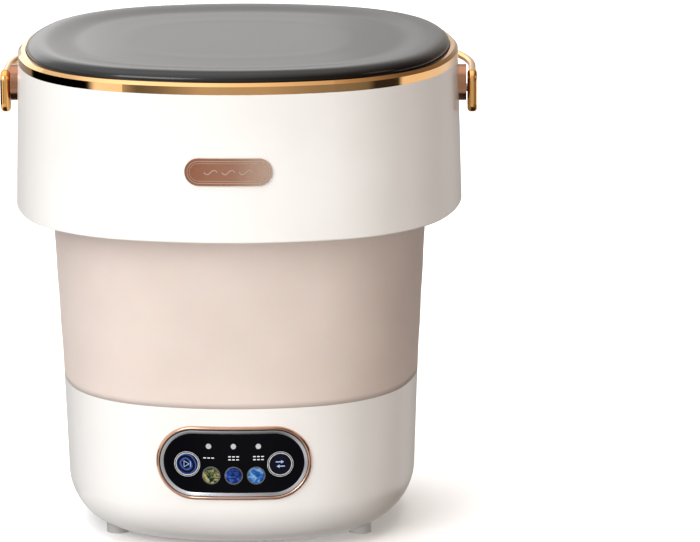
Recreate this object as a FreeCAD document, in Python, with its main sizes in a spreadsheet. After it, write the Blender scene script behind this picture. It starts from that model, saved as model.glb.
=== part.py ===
import FreeCAD, Part
import math
import os
import re
import Sketcher

# Folding mini washer: a white base with the drive, a soft wall that folds, and a white upper
# housing with a gold rim, a smoked lift-off lid and a swinging handle.
# Frame: origin on the tub's axis at floor level, +Z up, the control panel faces -Y.

Vector = FreeCAD.Vector
Rotation = FreeCAD.Rotation
UP = Vector(0, 0, 1)
ALONG_X = Rotation(Vector(0, 1, 0), 90)
ALONG_Y = Rotation(Vector(1, 0, 0), -90)

DIMENSIONS = {
    # plan shape: side arcs and corner arcs as multiples of the half-width
    "side_ratio": 1.5,
    "corner_ratio": 0.72,
    "corner_reach": 1.06,
    "wall": 3.0,
    "gap": 0.3,
    "running_fit": 0.05,
    "screw_play": 0.1,
    # base
    "foot_height": 3.0,
    "foot_radius": 8.5,
    "foot_x": 93.0,
    "foot_y": 62.0,
    "base_top": 115.0,
    "base_half_low": 132.7,
    "base_half_top": 136.7,
    "base_round": 38.0,
    "cover_half": 91.0,
    "cover_lip": 6.0,
    "cover_thickness": 1.5,
    "cover_screw_radius": 1.5,
    "vent_length": 30.0,
    "vent_width": 3.0,
    "vent_pitch": 7.0,
    "tub_bottom": 89.0,
    "tub_round": 12.0,
    "ledge_half": 112.0,
    # soft wall
    "wall_top": 352.2,
    "wall_half_top": 149.2,
    "lip_half": 158.0,
    "lip_height": 3.0,
    # upper housing
    "skirt_bottom": 249.0,
    "skirt_top": 359.5,
    "skirt_half_low": 170.8,
    "skirt_half_top": 168.0,
    "skirt_edge": 1.2,
    "flange": 4.0,
    "mouth_half": 146.0,
    "clamp_bottom": 346.0,
    "clamp_half": 164.0,
    "clamp_screw_half": 160.2,
    "clamp_screw_radius": 1.4,
    "clamp_screw_length": 12.0,
    "rim_top": 368.0,
    "rim_half_in": 162.2,
    "rim_bevel": 2.5,
    # lid
    "lid_half": 161.6,
    "lid_bottom": 359.8,
    "lid_top": 375.0,
    "lid_round": 6.0,
    "lid_crest": 10.0,
    "lid_band": 34.0,
    "lid_step": 2.2,
    "lid_skin": 2.6,
    "plug_half": 142.0,
    "plug_bottom": 351.0,
    # badge and control panel
    "badge_width": 64.8,
    "badge_height": 20.3,
    "badge_level": 302.5,
    "badge_proud": 1.4,
    "panel_level": 72.8,
    "bezel_width": 117.5,
    "bezel_height": 57.5,
    "bezel_rim": 3.2,
    "bevel_rim": 2.5,
    "bezel_proud": 2.2,
    "bevel_proud": 1.5,
    "glass_proud": 0.6,
    "panel_depth": 2.9,
    "button_x": 35.0,
    "button_level": 72.1,
    "button_radius": 7.9,
    "button_ring": 1.7,
    "button_proud": 1.3,
    "button_back": 123.5,
    "led_pitch": 18.7,
    "led_level": 86.3,
    "led_radius": 2.0,
    "icon_pitch": 16.9,
    "icon_level": 63.6,
    "icon_radius": 6.2,
    "icon_ring": 0.7,
    # handle
    "pivot_level": 335.0,
    "pin_radius": 3.0,
    "lug_inner": 175.0,
    "lug_outer": 182.5,
    "lug_width": 16.0,
    "lug_bottom": 316.0,
    "lug_top": 349.0,
    "lug_round": 3.0,
    "lug_skin": 1.5,
    "bar_radius": 2.9,
    "bail_side": 178.7,
    "bail_rear": 174.0,
    "bail_corner": 145.0,
    "bracket_width": 24.0,
    "bracket_bottom": 325.0,
    "bracket_top": 353.0,
    "bracket_root": 160.0,
    # drive
    "shaft_radius": 5.0,
    "shaft_bottom": 14.0,
    "shaft_top": 104.0,
    "bearing_radius": 13.0,
    "bearing_width": 8.0,
    "housing_radius": 17.0,
    "housing_bottom": 40.0,
    "housing_flange": 36.0,
    "seal_radius": 11.0,
    "seal_depth": 5.0,
    "pulsator_radius": 88.0,
    "pulsator_bottom": 94.0,
    "pulsator_height": 15.0,
    "pulsator_screw_radius": 2.0,
    "fin_width": 8.0,
    "fin_count": 4,
    "pulley_bottom": 16.0,
    "pulley_flange": 2.0,
    "groove": 8.0,
    "groove_depth": 2.0,
    "driven_radius": 44.0,
    "motor_pulley_radius": 11.0,
    "motor_offset": 72.0,
    "motor_radius": 27.0,
    "motor_bottom": 36.0,
    "motor_shaft_radius": 3.0,
    "plate_bottom": 86.0,
    "plate_width": 66.0,
    "plate_length": 70.0,
    "plate_front": 38.0,
    "belt_thickness": 1.5,
    # board
    "board_back": 116.4,
    "board_thickness": 1.6,
    "board_width": 96.0,
    "board_bottom": 36.0,
    "board_top": 84.0,
    "post_radius": 2.5,
    "post_x": 44.0,
    "post_low": 40.0,
    "post_high": 80.0,
    "switch_radius": 4.5,
    "switch_height": 4.0,
    # rear fittings
    "drain_x": -50.0,
    "drain_y": 88.0,
    "drain_level": 30.0,
    "drain_outer": 9.0,
    "drain_inner": 7.0,
    "drain_end": 146.0,
    "drain_bend": 20.0,
    "drain_hole": 2.5,
    "drain_spread": 7.0,
    "cap_radius": 11.5,
    "inlet_x": 40.0,
    "inlet_level": 55.0,
    "inlet_radius": 7.5,
    "inlet_collar": 5.5,
    "inlet_jack": 2.8,
    "inlet_back": 112.0,
    "inlet_depth": 22.0,
    "inlet_floor": 121.0,
    "inlet_collar_floor": 131.0,
    "inlet_pin_radius": 1.0,
    "inlet_pin_length": 9.0,
}

doc = FreeCAD.newDocument("mini_washer")
sheet = doc.addObject("Spreadsheet::Sheet", "Dims")
for row, (alias, value) in enumerate(DIMENSIONS.items(), start=1):
    sheet.set(f"A{row}", str(value))
    sheet.setAlias(f"A{row}", alias)
doc.recompute()

pieces = []


# ---- expressions ---------------------------------------------------------------------------

def bound(expression):
    """The expression with every driving dimension named as a cell of the sheet."""
    return re.sub(r"\b([a-z]+(?:_[a-z]+)*)\b",
                  lambda found: "Dims." + found[0] if found[0] in DIMENSIONS else found[0],
                  expression)


def number(expression):
    """The present value of an expression of driving dimensions."""
    return float(sheet.evalExpression(expression))


def bind(thing, **expressions):
    """Bind properties to expressions: Base_x stands for Placement.Base.x."""
    for name, expression in expressions.items():
        path = "Placement." + name.replace("_", ".") if name.startswith("Base_") else name
        thing.setExpression(path, bound(expression))


def piece(thing, label):
    """Give a finished sub-part its name and keep it for the export."""
    thing.Label = label
    pieces.append(thing)
    return thing


# ---- sketches ------------------------------------------------------------------------------

def new_body(name):
    return doc.addObject("PartDesign::Body", name)


def new_sketch(body, name, plane="XY_Plane", offset="0"):
    """A sketch on one of the body's own origin planes, moved along the plane's normal."""
    sketch = body.newObject("Sketcher::SketchObject", name)
    origin_plane = [f for f in body.Origin.OriginFeatures if f.Role == plane][0]
    sketch.AttachmentSupport = (origin_plane, [""])
    sketch.MapMode = "FlatFace"
    sketch.setExpression("AttachmentOffset.Base.z", bound(offset))
    return sketch


def constrain(sketch, kind, *targets, size=None):
    """Add a constraint, with its value bound to an expression where it has one."""
    if size is None:
        sketch.addConstraint(Sketcher.Constraint(kind, *targets))
        return
    index = sketch.addConstraint(Sketcher.Constraint(kind, *targets, number(size)))
    sketch.setExpression(f"Constraints[{index}]", bound(size))


def place_point(sketch, geometry, point, x, y):
    """Hold one point of a sketch element at (x, y), both expressions."""
    for kind, size, axis in (("DistanceX", x, -2), ("DistanceY", y, -1)):
        if abs(number(size)) < 1e-9:
            constrain(sketch, "PointOnObject", geometry, point, axis)
        else:
            constrain(sketch, kind, -1, 1, geometry, point, size=size)


def arc(center, radius, start, end):
    return Part.ArcOfCircle(Part.Circle(center, UP, radius), start, end)


def outline(sketch, half):
    """A soft rounded square of the given half-width: four side arcs and four corner arcs."""
    side_size = f"side_ratio * ({half})"
    corner_size = f"corner_ratio * ({half})"
    reach_size = f"(side_ratio - 1) * ({half})"
    side, corner, reach = number(side_size), number(corner_size), number(reach_size)
    swing = math.acos(reach / (side - corner) / math.sqrt(2)) - math.pi / 4
    corner_distance = math.sqrt(2) * ((side - corner) * math.cos(swing) - reach)
    first = sketch.GeometryCount
    for quarter in range(4):
        facing = quarter * math.pi / 2
        diagonal = facing + math.pi / 4
        direction = Vector(math.cos(facing), math.sin(facing), 0)
        toward_corner = Vector(math.cos(diagonal), math.sin(diagonal), 0)
        sketch.addGeometry(arc(direction * -reach, side, facing - swing, facing + swing))
        sketch.addGeometry(arc(toward_corner * corner_distance, corner,
                               facing + swing, facing + math.pi / 2 - swing))
    for index in range(8):
        constrain(sketch, "Tangent", first + index, 2, first + (index + 1) % 8, 1)
    for quarter in range(4):
        center = (first + 2 * quarter, 3)
        axis, kind = (-1, "DistanceX") if quarter % 2 == 0 else (-2, "DistanceY")
        constrain(sketch, "PointOnObject", *center, axis)
        ends = (*center, -1, 1) if quarter < 2 else (-1, 1, *center)
        constrain(sketch, kind, *ends, size=reach_size)
        if quarter:
            constrain(sketch, "Equal", first, first + 2 * quarter)
            constrain(sketch, "Equal", first + 1, first + 2 * quarter + 1)
    constrain(sketch, "Radius", first, size=side_size)
    constrain(sketch, "Radius", first + 1, size=corner_size)


def circle(sketch, radius, x="0", y="0"):
    center = Vector(number(x), number(y), 0)
    index = sketch.addGeometry(Part.Circle(center, UP, number(radius)))
    constrain(sketch, "Radius", index, size=radius)
    place_point(sketch, index, 3, x, y)


def polygon(sketch, corners):
    """A closed outline of straight lines through corners given as pairs of expressions."""
    points = [Vector(number(x), number(y), 0) for x, y in corners]
    first = sketch.GeometryCount
    for start, end in zip(points, points[1:] + points[:1]):
        sketch.addGeometry(Part.LineSegment(start, end))
    for index, (x, y) in enumerate(corners):
        following = (index + 1) % len(corners)
        constrain(sketch, "Coincident", first + index, 2, first + following, 1)
        place_point(sketch, first + index, 1, x, y)


def capsule(sketch, length, height, x="0", y="0", upright=False):
    """A straight slot shape of the given overall length and height about (x, y)."""
    radius = f"({height}) / 2"
    run = f"(({length}) - ({height})) / 2"
    r, reach = number(radius), number(run)
    middle = Vector(number(x), number(y), 0)
    along = Vector(0, 1, 0) if upright else Vector(1, 0, 0)
    turn = math.pi / 2 if upright else 0
    across = Vector(-along.y, along.x, 0)
    far, near = middle + along * reach, middle - along * reach
    first = sketch.GeometryCount
    sketch.addGeometry(arc(far, r, turn - math.pi / 2, turn + math.pi / 2))
    sketch.addGeometry(Part.LineSegment(far + across * r, near + across * r))
    sketch.addGeometry(arc(near, r, turn + math.pi / 2, turn + 3 * math.pi / 2))
    sketch.addGeometry(Part.LineSegment(near - across * r, far - across * r))
    for index in range(4):
        constrain(sketch, "Tangent", first + index, 2, first + (index + 1) % 4, 1)
    constrain(sketch, "Radius", first, size=radius)
    if upright:
        place_point(sketch, first, 3, x, f"({y}) + {run}")
        place_point(sketch, first + 2, 3, x, f"({y}) - {run}")
    else:
        place_point(sketch, first, 3, f"({x}) + {run}", y)
        place_point(sketch, first + 2, 3, f"({x}) - {run}", y)


# ---- features ------------------------------------------------------------------------------

def pad(body, name, sketch, length):
    feature = body.newObject("PartDesign::Pad", name)
    feature.Profile = sketch
    feature.setExpression("Length", bound(length))
    doc.recompute()
    return feature


def pocket(body, name, sketch, length):
    """Cut a pocket along the sketch's normal, and make sure that it took something away."""
    before = body.Shape.Volume
    feature = body.newObject("PartDesign::Pocket", name)
    feature.Profile = sketch
    feature.Reversed = True
    feature.setExpression("Length", bound(length))
    doc.recompute()
    if body.Shape.Volume > before - 1e-3:
        raise ValueError(f"{name} cuts nothing")
    return feature


def layer(body, name, halves, bottom, height, cut=False):
    """A flat layer of one outline, or of a ring between two, between two heights."""
    sketch = new_sketch(body, name + "_sketch", offset=bottom)
    for half in halves:
        outline(sketch, half)
    make = pocket if cut else pad
    return make(body, name, sketch, height)


def loft(body, name, low, high, cut=False):
    """A lofted form between two outlines, each a (level, half-width) pair."""
    sections = []
    for end, (level, half) in (("low", low), ("high", high)):
        section = new_sketch(body, f"{name}_{end}", offset=level)
        outline(section, half)
        sections.append(section)
    kind = "PartDesign::SubtractiveLoft" if cut else "PartDesign::AdditiveLoft"
    feature = body.newObject(kind, name)
    feature.Profile = sections[0]
    feature.Sections = sections[1:]
    feature.Ruled = True
    doc.recompute()
    return feature


def turned(body, name, corners, cut=False):
    """Revolve a closed outline of (radius, level) pairs about the Z axis."""
    sketch = new_sketch(body, name + "_sketch", plane="XZ_Plane")
    polygon(sketch, corners)
    kind = "PartDesign::Groove" if cut else "PartDesign::Revolution"
    before = body.Shape.Volume if cut else 0
    feature = body.newObject(kind, name)
    feature.Profile = sketch
    feature.ReferenceAxis = (sketch, ["V_Axis"])
    feature.Angle = 360
    doc.recompute()
    if cut and body.Shape.Volume > before - 1e-3:
        raise ValueError(f"{name} cuts nothing")
    return feature


def round_edges(body, name, radius, wanted, kind="PartDesign::Fillet"):
    """Fillet or chamfer the edges of the body's last feature for which wanted(edge) holds."""
    base = body.Tip
    edges = [f"Edge{i}" for i, edge in enumerate(base.Shape.Edges, start=1) if wanted(edge)]
    feature = body.newObject(kind, name)
    feature.Base = (base, edges)
    size = "Radius" if kind.endswith("Fillet") else "Size"
    feature.setExpression(size, bound(radius))
    doc.recompute()
    return feature


def at_level(level, wider_than="0", narrower_than="1000"):
    """A test for horizontal outline edges at a level, within a band of distances from Z."""
    height, inner, outer = number(level), number(wider_than), number(narrower_than)

    def test(edge):
        box = edge.BoundBox
        reach = max(abs(box.XMin), abs(box.XMax), abs(box.YMin), abs(box.YMax))
        flat = abs(box.ZMin - height) < 1e-3 and abs(box.ZMax - height) < 1e-3
        return flat and inner < reach < outer
    return test


def cylinder(name, radius, length, x="0", y="0", z="0", turn=None):
    rod = doc.addObject("Part::Cylinder", name)
    if turn is not None:
        rod.Placement = FreeCAD.Placement(Vector(), turn)
    bind(rod, Radius=radius, Height=length, Base_x=x, Base_y=y, Base_z=z)
    return rod


def block(name, length, width, height, x, y, z):
    box = doc.addObject("Part::Box", name)
    bind(box, Length=length, Width=width, Height=height, Base_x=x, Base_y=y, Base_z=z)
    return box


def combine(kind, name, base, tool):
    """Part::Cut, Part::Common or Part::Fuse of two objects."""
    result = doc.addObject("Part::" + kind, name)
    result.Base = base
    result.Tool = tool
    return result


def group(name, members):
    """Identical small pieces kept together as separate solids."""
    bundle = doc.addObject("Part::Compound", name)
    bundle.Links = members
    return bundle


def screw(name, shank, length, head, head_height, x, y, z, down=False):
    """A pan-head screw with a slot: z is the seat under the head, the shank points up or down."""
    shank_z = f"({z}) - ({length})" if down else z
    head_z = z if down else f"({z}) - {head_height}"
    slot_z = f"({z}) + {head_height} / 2" if down else f"({z}) - {head_height}"
    rod = cylinder(name + "_shank", shank, length, x, y, shank_z)
    cap = cylinder(name + "_head", head, str(head_height), x, y, head_z)
    body = combine("Fuse", name + "_blank", rod, cap)
    slot = block(name + "_slot", f"2 * {head}", "0.8", f"{head_height} / 2",
                 f"({x}) - {head}", f"({y}) - 0.4", slot_z)
    return combine("Cut", name, body, slot)


def around(count, radius):
    """Evenly spaced (x, y) expression pairs on a circle, the first half a step from +X."""
    places = []
    for index in range(count):
        angle = 360 / count * (index + 0.5)
        places.append((f"({radius}) * cos({angle})", f"({radius}) * sin({angle})"))
    return places


def holes(body, name, places, radius, bottom, depth):
    """Round holes at (x, y) places, cut upwards from the bottom level."""
    sketch = new_sketch(body, name + "_sketch", offset=bottom)
    for x, y in places:
        circle(sketch, radius, x, y)
    return pocket(body, name, sketch, depth)


# ---- shared forms --------------------------------------------------------------------------

BASE_BOTTOM = "foot_height"
BASE_LOW = (BASE_BOTTOM, "base_half_low")
BASE_HIGH = ("base_top", "base_half_top")
SLOPE = "(base_half_top - base_half_low) / (base_top - foot_height)"


def base_half(level, offset="0"):
    """The base's outer half-width at a level, plus an offset."""
    return f"base_half_low + {SLOPE} * (({level}) - foot_height) + ({offset})"


def form(name, low, high, offset):
    """A plain solid that follows a tapered outside at a given offset, used to trim pieces."""
    body = new_body(name)
    loft(body, name + "_loft", (low[0], f"{low[1]} + ({offset})"),
         (high[0], f"{high[1]} + ({offset})"))
    return body


def base_form(name, offset):
    return form(name, BASE_LOW, BASE_HIGH, offset)


def skirt_form(name, offset):
    return form(name, ("skirt_bottom", "skirt_half_low"), ("skirt_top", "skirt_half_top"), offset)


def bowl(body, name, bottom, low_half, radius, top, top_half, cut=False):
    """A form with a rounded lower edge: a smooth loft up the rounding, then a straight wall."""
    steps = 5
    sections = []
    for step in range(steps + 1):
        angle = 90 * step / steps
        section = new_sketch(body, f"{name}_section_{step}",
                             offset=f"{bottom} + ({radius}) * (1 - cos({angle}))")
        outline(section, f"{low_half} - ({radius}) * (1 - sin({angle}))")
        sections.append(section)
    kind = "PartDesign::SubtractiveLoft" if cut else "PartDesign::AdditiveLoft"
    rounding = body.newObject(kind, name + "_rounding")
    rounding.Profile = sections[0]
    rounding.Sections = sections[1:]
    doc.recompute()
    loft(body, name + "_wall", (f"{bottom} + ({radius})", low_half), (top, top_half), cut)


def rounded_base(body, name, inset, cut=False):
    """The base's outside, or its cavity when inset, with the large rounded lower edge."""
    center = "foot_height + base_round"
    bowl(body, name, f"foot_height + {inset}", base_half(center, f"-({inset})"),
         f"base_round - ({inset})", "base_top", f"base_half_top - ({inset})", cut)


def front_prism(name, draw, back="100", depth="60"):
    """A prism along -Y from a sketch drawn in X and Z."""
    body = new_body(name)
    sketch = new_sketch(body, name + "_sketch", plane="XZ_Plane", offset=back)
    draw(sketch)
    pad(body, name + "_pad", sketch, depth)
    return body


def trimmed(label, prism, outer, inner):
    """A piece of a front prism between two offsets of a tapered outside."""
    kept = combine("Common", label + "_front", prism, outer)
    return piece(combine("Cut", label, kept, inner), label)


# ---- base ----------------------------------------------------------------------------------

def make_base_shell():
    body = new_body("base_shell")
    rounded_base(body, "outside", "0")
    rounded_base(body, "cavity", "wall", cut=True)
    layer(body, "ledge", [base_half("tub_bottom", "-1"), "ledge_half"],
          "tub_bottom - wall", "wall")
    layer(body, "cover_hole", ["cover_half - cover_lip"], BASE_BOTTOM, "wall", cut=True)
    layer(body, "cover_seat", ["cover_half"], BASE_BOTTOM, "cover_thickness", cut=True)
    opening = new_sketch(body, "panel_opening_sketch", plane="XZ_Plane", offset="100")
    capsule(opening, "bezel_width", "bezel_height", y="panel_level")
    pocket(body, "panel_opening", opening, "60")
    fittings = new_sketch(body, "rear_holes_sketch", plane="XZ_Plane", offset="-150")
    circle(fittings, "drain_outer", "drain_x", "drain_level")
    circle(fittings, "inlet_radius", "inlet_x", "inlet_level")
    pocket(body, "rear_holes", fittings, "50")
    holes(body, "cover_screw_holes", cover_screw_places(), "cover_screw_radius + screw_play",
          BASE_BOTTOM, "wall")
    piece(body, "base_shell")


def cover_screw_places():
    return around(4, "corner_reach * (cover_half - cover_lip / 2)")


def make_bottom_cover():
    body = new_body("bottom_cover")
    layer(body, "plate", ["cover_half - gap"], BASE_BOTTOM, "cover_thickness")
    layer(body, "spigot", ["cover_half - cover_lip - gap"],
          "foot_height + cover_thickness", "2.5")
    slots = new_sketch(body, "vent_sketch", offset=BASE_BOTTOM)
    for index in range(-3, 4):
        capsule(slots, "vent_length", "vent_width", y=f"{index} * vent_pitch")
    pocket(body, "vents", slots, "5")
    holes(body, "screw_holes", cover_screw_places(), "cover_screw_radius + screw_play",
          BASE_BOTTOM, "5")
    piece(body, "bottom_cover")
    # headless screws, sunk a little way into the plate
    screws = [cylinder(f"cover_screw_{i}", "cover_screw_radius", "wall + 2", x, y,
                       "foot_height + 0.2")
              for i, (x, y) in enumerate(cover_screw_places())]
    piece(group("cover_screws", screws), "cover_screws")


def make_feet():
    form_body = new_body("foot_trim_form")
    rounded_base(form_body, "foot_trim", "0")
    feet = []
    for index, (sign_x, sign_y) in enumerate(((-1, -1), (1, -1), (1, 1), (-1, 1))):
        stub = cylinder(f"foot_stub_{index}", "foot_radius", "15",
                        f"{sign_x} * foot_x", f"{sign_y} * foot_y")
        feet.append(combine("Cut", f"foot_{index}", stub, form_body))
    piece(group("feet", feet), "feet")


def make_wash_tub():
    body = new_body("wash_tub")
    top_half = base_half("base_top", "-wall - gap")
    bottom_half = base_half("tub_bottom", "-wall - gap - 1.5")
    floor = "tub_bottom + wall"
    bowl(body, "outside", "tub_bottom", bottom_half, "tub_round", "base_top", top_half)
    bowl(body, "hollow", floor, f"{bottom_half} - wall", "tub_round - wall", "base_top",
         f"{top_half} - wall", cut=True)
    holes(body, "seal_hole", [("0", "0")], "seal_radius", "tub_bottom", "wall")
    drains = [(f"drain_x + {i} * drain_spread", f"drain_y + {j} * drain_spread")
              for i in (-0.5, 0.5) for j in (-0.5, 0.5)]
    holes(body, "drain_holes", drains, "drain_hole", "tub_bottom", "wall")
    piece(body, "wash_tub")


def make_soft_wall():
    body = new_body("soft_wall")
    loft(body, "outside", BASE_HIGH, ("wall_top", "wall_half_top"))
    layer(body, "lip", ["lip_half"], "wall_top", "lip_height")
    loft(body, "inside", ("base_top", "base_half_top - wall"),
         ("wall_top", "wall_half_top - wall"), cut=True)
    layer(body, "mouth", ["wall_half_top - wall"], "wall_top", "lip_height", cut=True)
    piece(body, "soft_wall")


# ---- upper housing -------------------------------------------------------------------------

def clamp_screw_places():
    return [(f"{x} * clamp_screw_half", f"{y} * clamp_screw_half")
            for x, y in ((1, 0.18), (1, -0.18), (-1, 0.18), (-1, -0.18),
                         (0.18, 1), (-0.18, 1), (0.18, -1), (-0.18, -1))]


def make_upper_housing():
    body = new_body("upper_skirt")
    loft(body, "outside", ("skirt_bottom", "skirt_half_low"), ("skirt_top", "skirt_half_top"))
    loft(body, "inside", ("skirt_bottom", "skirt_half_low - wall"),
         ("skirt_top - flange", "skirt_half_top - wall"), cut=True)
    layer(body, "mouth", ["mouth_half"], "skirt_top - flange", "flange", cut=True)
    round_edges(body, "lower_edge", "skirt_edge", at_level("skirt_bottom"))
    holes(body, "screw_holes", clamp_screw_places(), "clamp_screw_radius + screw_play",
          "skirt_top - flange", "flange - 1")
    piece(body, "upper_skirt")

    rim = new_body("rim_trim")
    layer(rim, "ring", ["skirt_half_top", "rim_half_in"], "skirt_top", "rim_top - skirt_top")
    round_edges(rim, "bevel", "rim_bevel", at_level("rim_top", "rim_half_in + 1"),
                kind="PartDesign::Chamfer")
    piece(rim, "rim_trim")

    clamp = new_body("wall_clamp")
    slope = "(wall_half_top - base_half_top) / (wall_top - base_top)"
    inner = f"wall_half_top - {slope} * (wall_top - clamp_bottom) + 0.8"
    layer(clamp, "plate", ["clamp_half", inner], "clamp_bottom",
          "wall_top - gap - clamp_bottom")
    layer(clamp, "rib", ["clamp_half", "lip_half + 0.5"], "wall_top - gap",
          "skirt_top - flange - wall_top + gap")
    holes(clamp, "screw_holes", clamp_screw_places(), "clamp_screw_radius + screw_play",
          "clamp_bottom", "clamp_screw_length")
    piece(clamp, "wall_clamp")
    screws = [screw(f"clamp_screw_{i}", "clamp_screw_radius", "clamp_screw_length", "2.6", 1.6,
                    x, y, "clamp_bottom")
              for i, (x, y) in enumerate(clamp_screw_places())]
    piece(group("clamp_screws", screws), "clamp_screws")


def make_badge():
    prism = front_prism("badge_prism", lambda sketch: capsule(
        sketch, "badge_width", "badge_height", y="badge_level"), back="140")
    trimmed("badge_plate", prism, skirt_form("badge_face", "badge_proud"),
            skirt_form("badge_seat", "0"))


# ---- lid -----------------------------------------------------------------------------------

def make_lid():
    body = new_body("lid_panel")
    under = "lid_top - lid_step - lid_skin"
    layer(body, "plate", ["lid_half"], "lid_bottom", "lid_top - lid_bottom")
    layer(body, "under_rim", ["lid_half - lid_skin", "plug_half"], "lid_bottom",
          "lid_top - lid_round - lid_bottom", cut=True)
    layer(body, "under_middle", ["plug_half - lid_skin"], "lid_bottom",
          f"{under} - lid_bottom", cut=True)
    loft(body, "dish", ("lid_top - lid_step", "lid_half - lid_band"),
         ("lid_top", "lid_half - lid_crest"), cut=True)
    layer(body, "plug", ["plug_half", "plug_half - lid_skin"], "plug_bottom",
          "lid_bottom - plug_bottom")
    round_edges(body, "pillow_edge", "lid_round", at_level("lid_top", "lid_half - 1"))
    piece(body, "lid_panel")

    gasket = new_body("lid_gasket")
    layer(gasket, "ring", ["mouth_half - 2 * gap", "plug_half"], "plug_bottom + 2", "3.5")
    piece(gasket, "lid_gasket")


# ---- handle --------------------------------------------------------------------------------

def make_handle():
    body = new_body("handle_bail")
    path = new_sketch(body, "bail_path", offset="lug_top - bar_radius")
    side, rear, corner = number("bail_side"), number("bail_rear"), number("bail_corner")
    turn_x, turn_y = side - corner, rear - corner
    path.addGeometry(Part.LineSegment(Vector(side, 0, 0), Vector(side, turn_y, 0)))
    path.addGeometry(arc(Vector(turn_x, turn_y, 0), corner, 0, math.pi / 2))
    path.addGeometry(Part.LineSegment(Vector(turn_x, rear, 0), Vector(-turn_x, rear, 0)))
    path.addGeometry(arc(Vector(-turn_x, turn_y, 0), corner, math.pi / 2, math.pi))
    path.addGeometry(Part.LineSegment(Vector(-side, turn_y, 0), Vector(-side, 0, 0)))
    for first, second in ((0, 1), (3, 4)):
        constrain(path, "Tangent", first, 2, second, 1)
    constrain(path, "Tangent", 1, 2, 2, 1)
    constrain(path, "Tangent", 2, 2, 3, 1)
    place_point(path, 0, 1, "bail_side", "0")
    place_point(path, 4, 2, "-bail_side", "0")
    place_point(path, 1, 3, "bail_side - bail_corner", "bail_rear - bail_corner")
    constrain(path, "Radius", 1, size="bail_corner")
    constrain(path, "Equal", 1, 3)
    constrain(path, "Horizontal", 2)
    constrain(path, "Vertical", 4)
    section = new_sketch(body, "bail_section", plane="XZ_Plane")
    circle(section, "bar_radius", "bail_side", "lug_top - bar_radius")
    bar = body.newObject("PartDesign::AdditivePipe", "bail_bar")
    bar.Profile = section
    bar.Spine = (path, [f"Edge{i}" for i in range(1, 6)])
    doc.recompute()
    for side_name, near in (("right", "lug_inner"), ("left", "-lug_outer")):
        lug = new_sketch(body, f"{side_name}_lug_sketch", plane="YZ_Plane", offset=near)
        capsule(lug, "lug_top - lug_bottom", "lug_width", y="(lug_top + lug_bottom) / 2",
                upright=True)
        pad(body, f"{side_name}_lug", lug, "lug_outer - lug_inner")
    round_edges(body, "lug_edges", "lug_round", is_lug_rim)
    for side_name, near in (("right", "lug_inner"), ("left", "lug_skin - lug_outer")):
        bore = new_sketch(body, f"{side_name}_bore_sketch", plane="YZ_Plane", offset=near)
        circle(bore, "pin_radius + running_fit", "0", "pivot_level")
        pocket(body, f"{side_name}_bore", bore, "lug_outer - lug_inner - lug_skin")
    piece(body, "handle_bail")


def is_lug_rim(edge):
    """The two long outlines of each lug's side faces, away from the bar."""
    box = edge.BoundBox
    flat = box.XMax - box.XMin < 1e-3
    on_face = min(abs(abs(box.XMin) - number("lug_inner")),
                  abs(abs(box.XMin) - number("lug_outer"))) < 1e-3
    return flat and on_face


def make_pivots():
    pins = []
    for side_name, sign in (("right", 1), ("left", -1)):
        plate = new_body(f"{side_name}_bracket_plate")
        near = "bracket_root" if sign > 0 else "2 * gap - lug_inner"
        sketch = new_sketch(plate, f"{side_name}_bracket_sketch", plane="YZ_Plane", offset=near)
        capsule(sketch, "bracket_top - bracket_bottom", "bracket_width",
                y="(bracket_top + bracket_bottom) / 2", upright=True)
        pad(plate, f"{side_name}_bracket_pad", sketch, "lug_inner - 2 * gap - bracket_root")
        hole = new_sketch(plate, f"{side_name}_pin_hole_sketch", plane="YZ_Plane", offset=near)
        circle(hole, "pin_radius", "0", "pivot_level")
        pocket(plate, f"{side_name}_pin_hole", hole, "lug_inner - bracket_root")
        seat = skirt_form(f"{side_name}_bracket_seat", "0")
        piece(combine("Cut", f"pivot_bracket_{side_name}", plate, seat),
              f"pivot_bracket_{side_name}")
        start = "skirt_half_low" if sign > 0 else "lug_skin + gap - lug_outer"
        pins.append(cylinder(f"pivot_pin_{side_name}", "pin_radius",
                             "lug_outer - lug_skin - gap - skirt_half_low", start, "0",
                             "pivot_level", turn=ALONG_X))
    piece(group("pivot_pins", pins), "pivot_pins")


# ---- drive ---------------------------------------------------------------------------------

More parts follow.
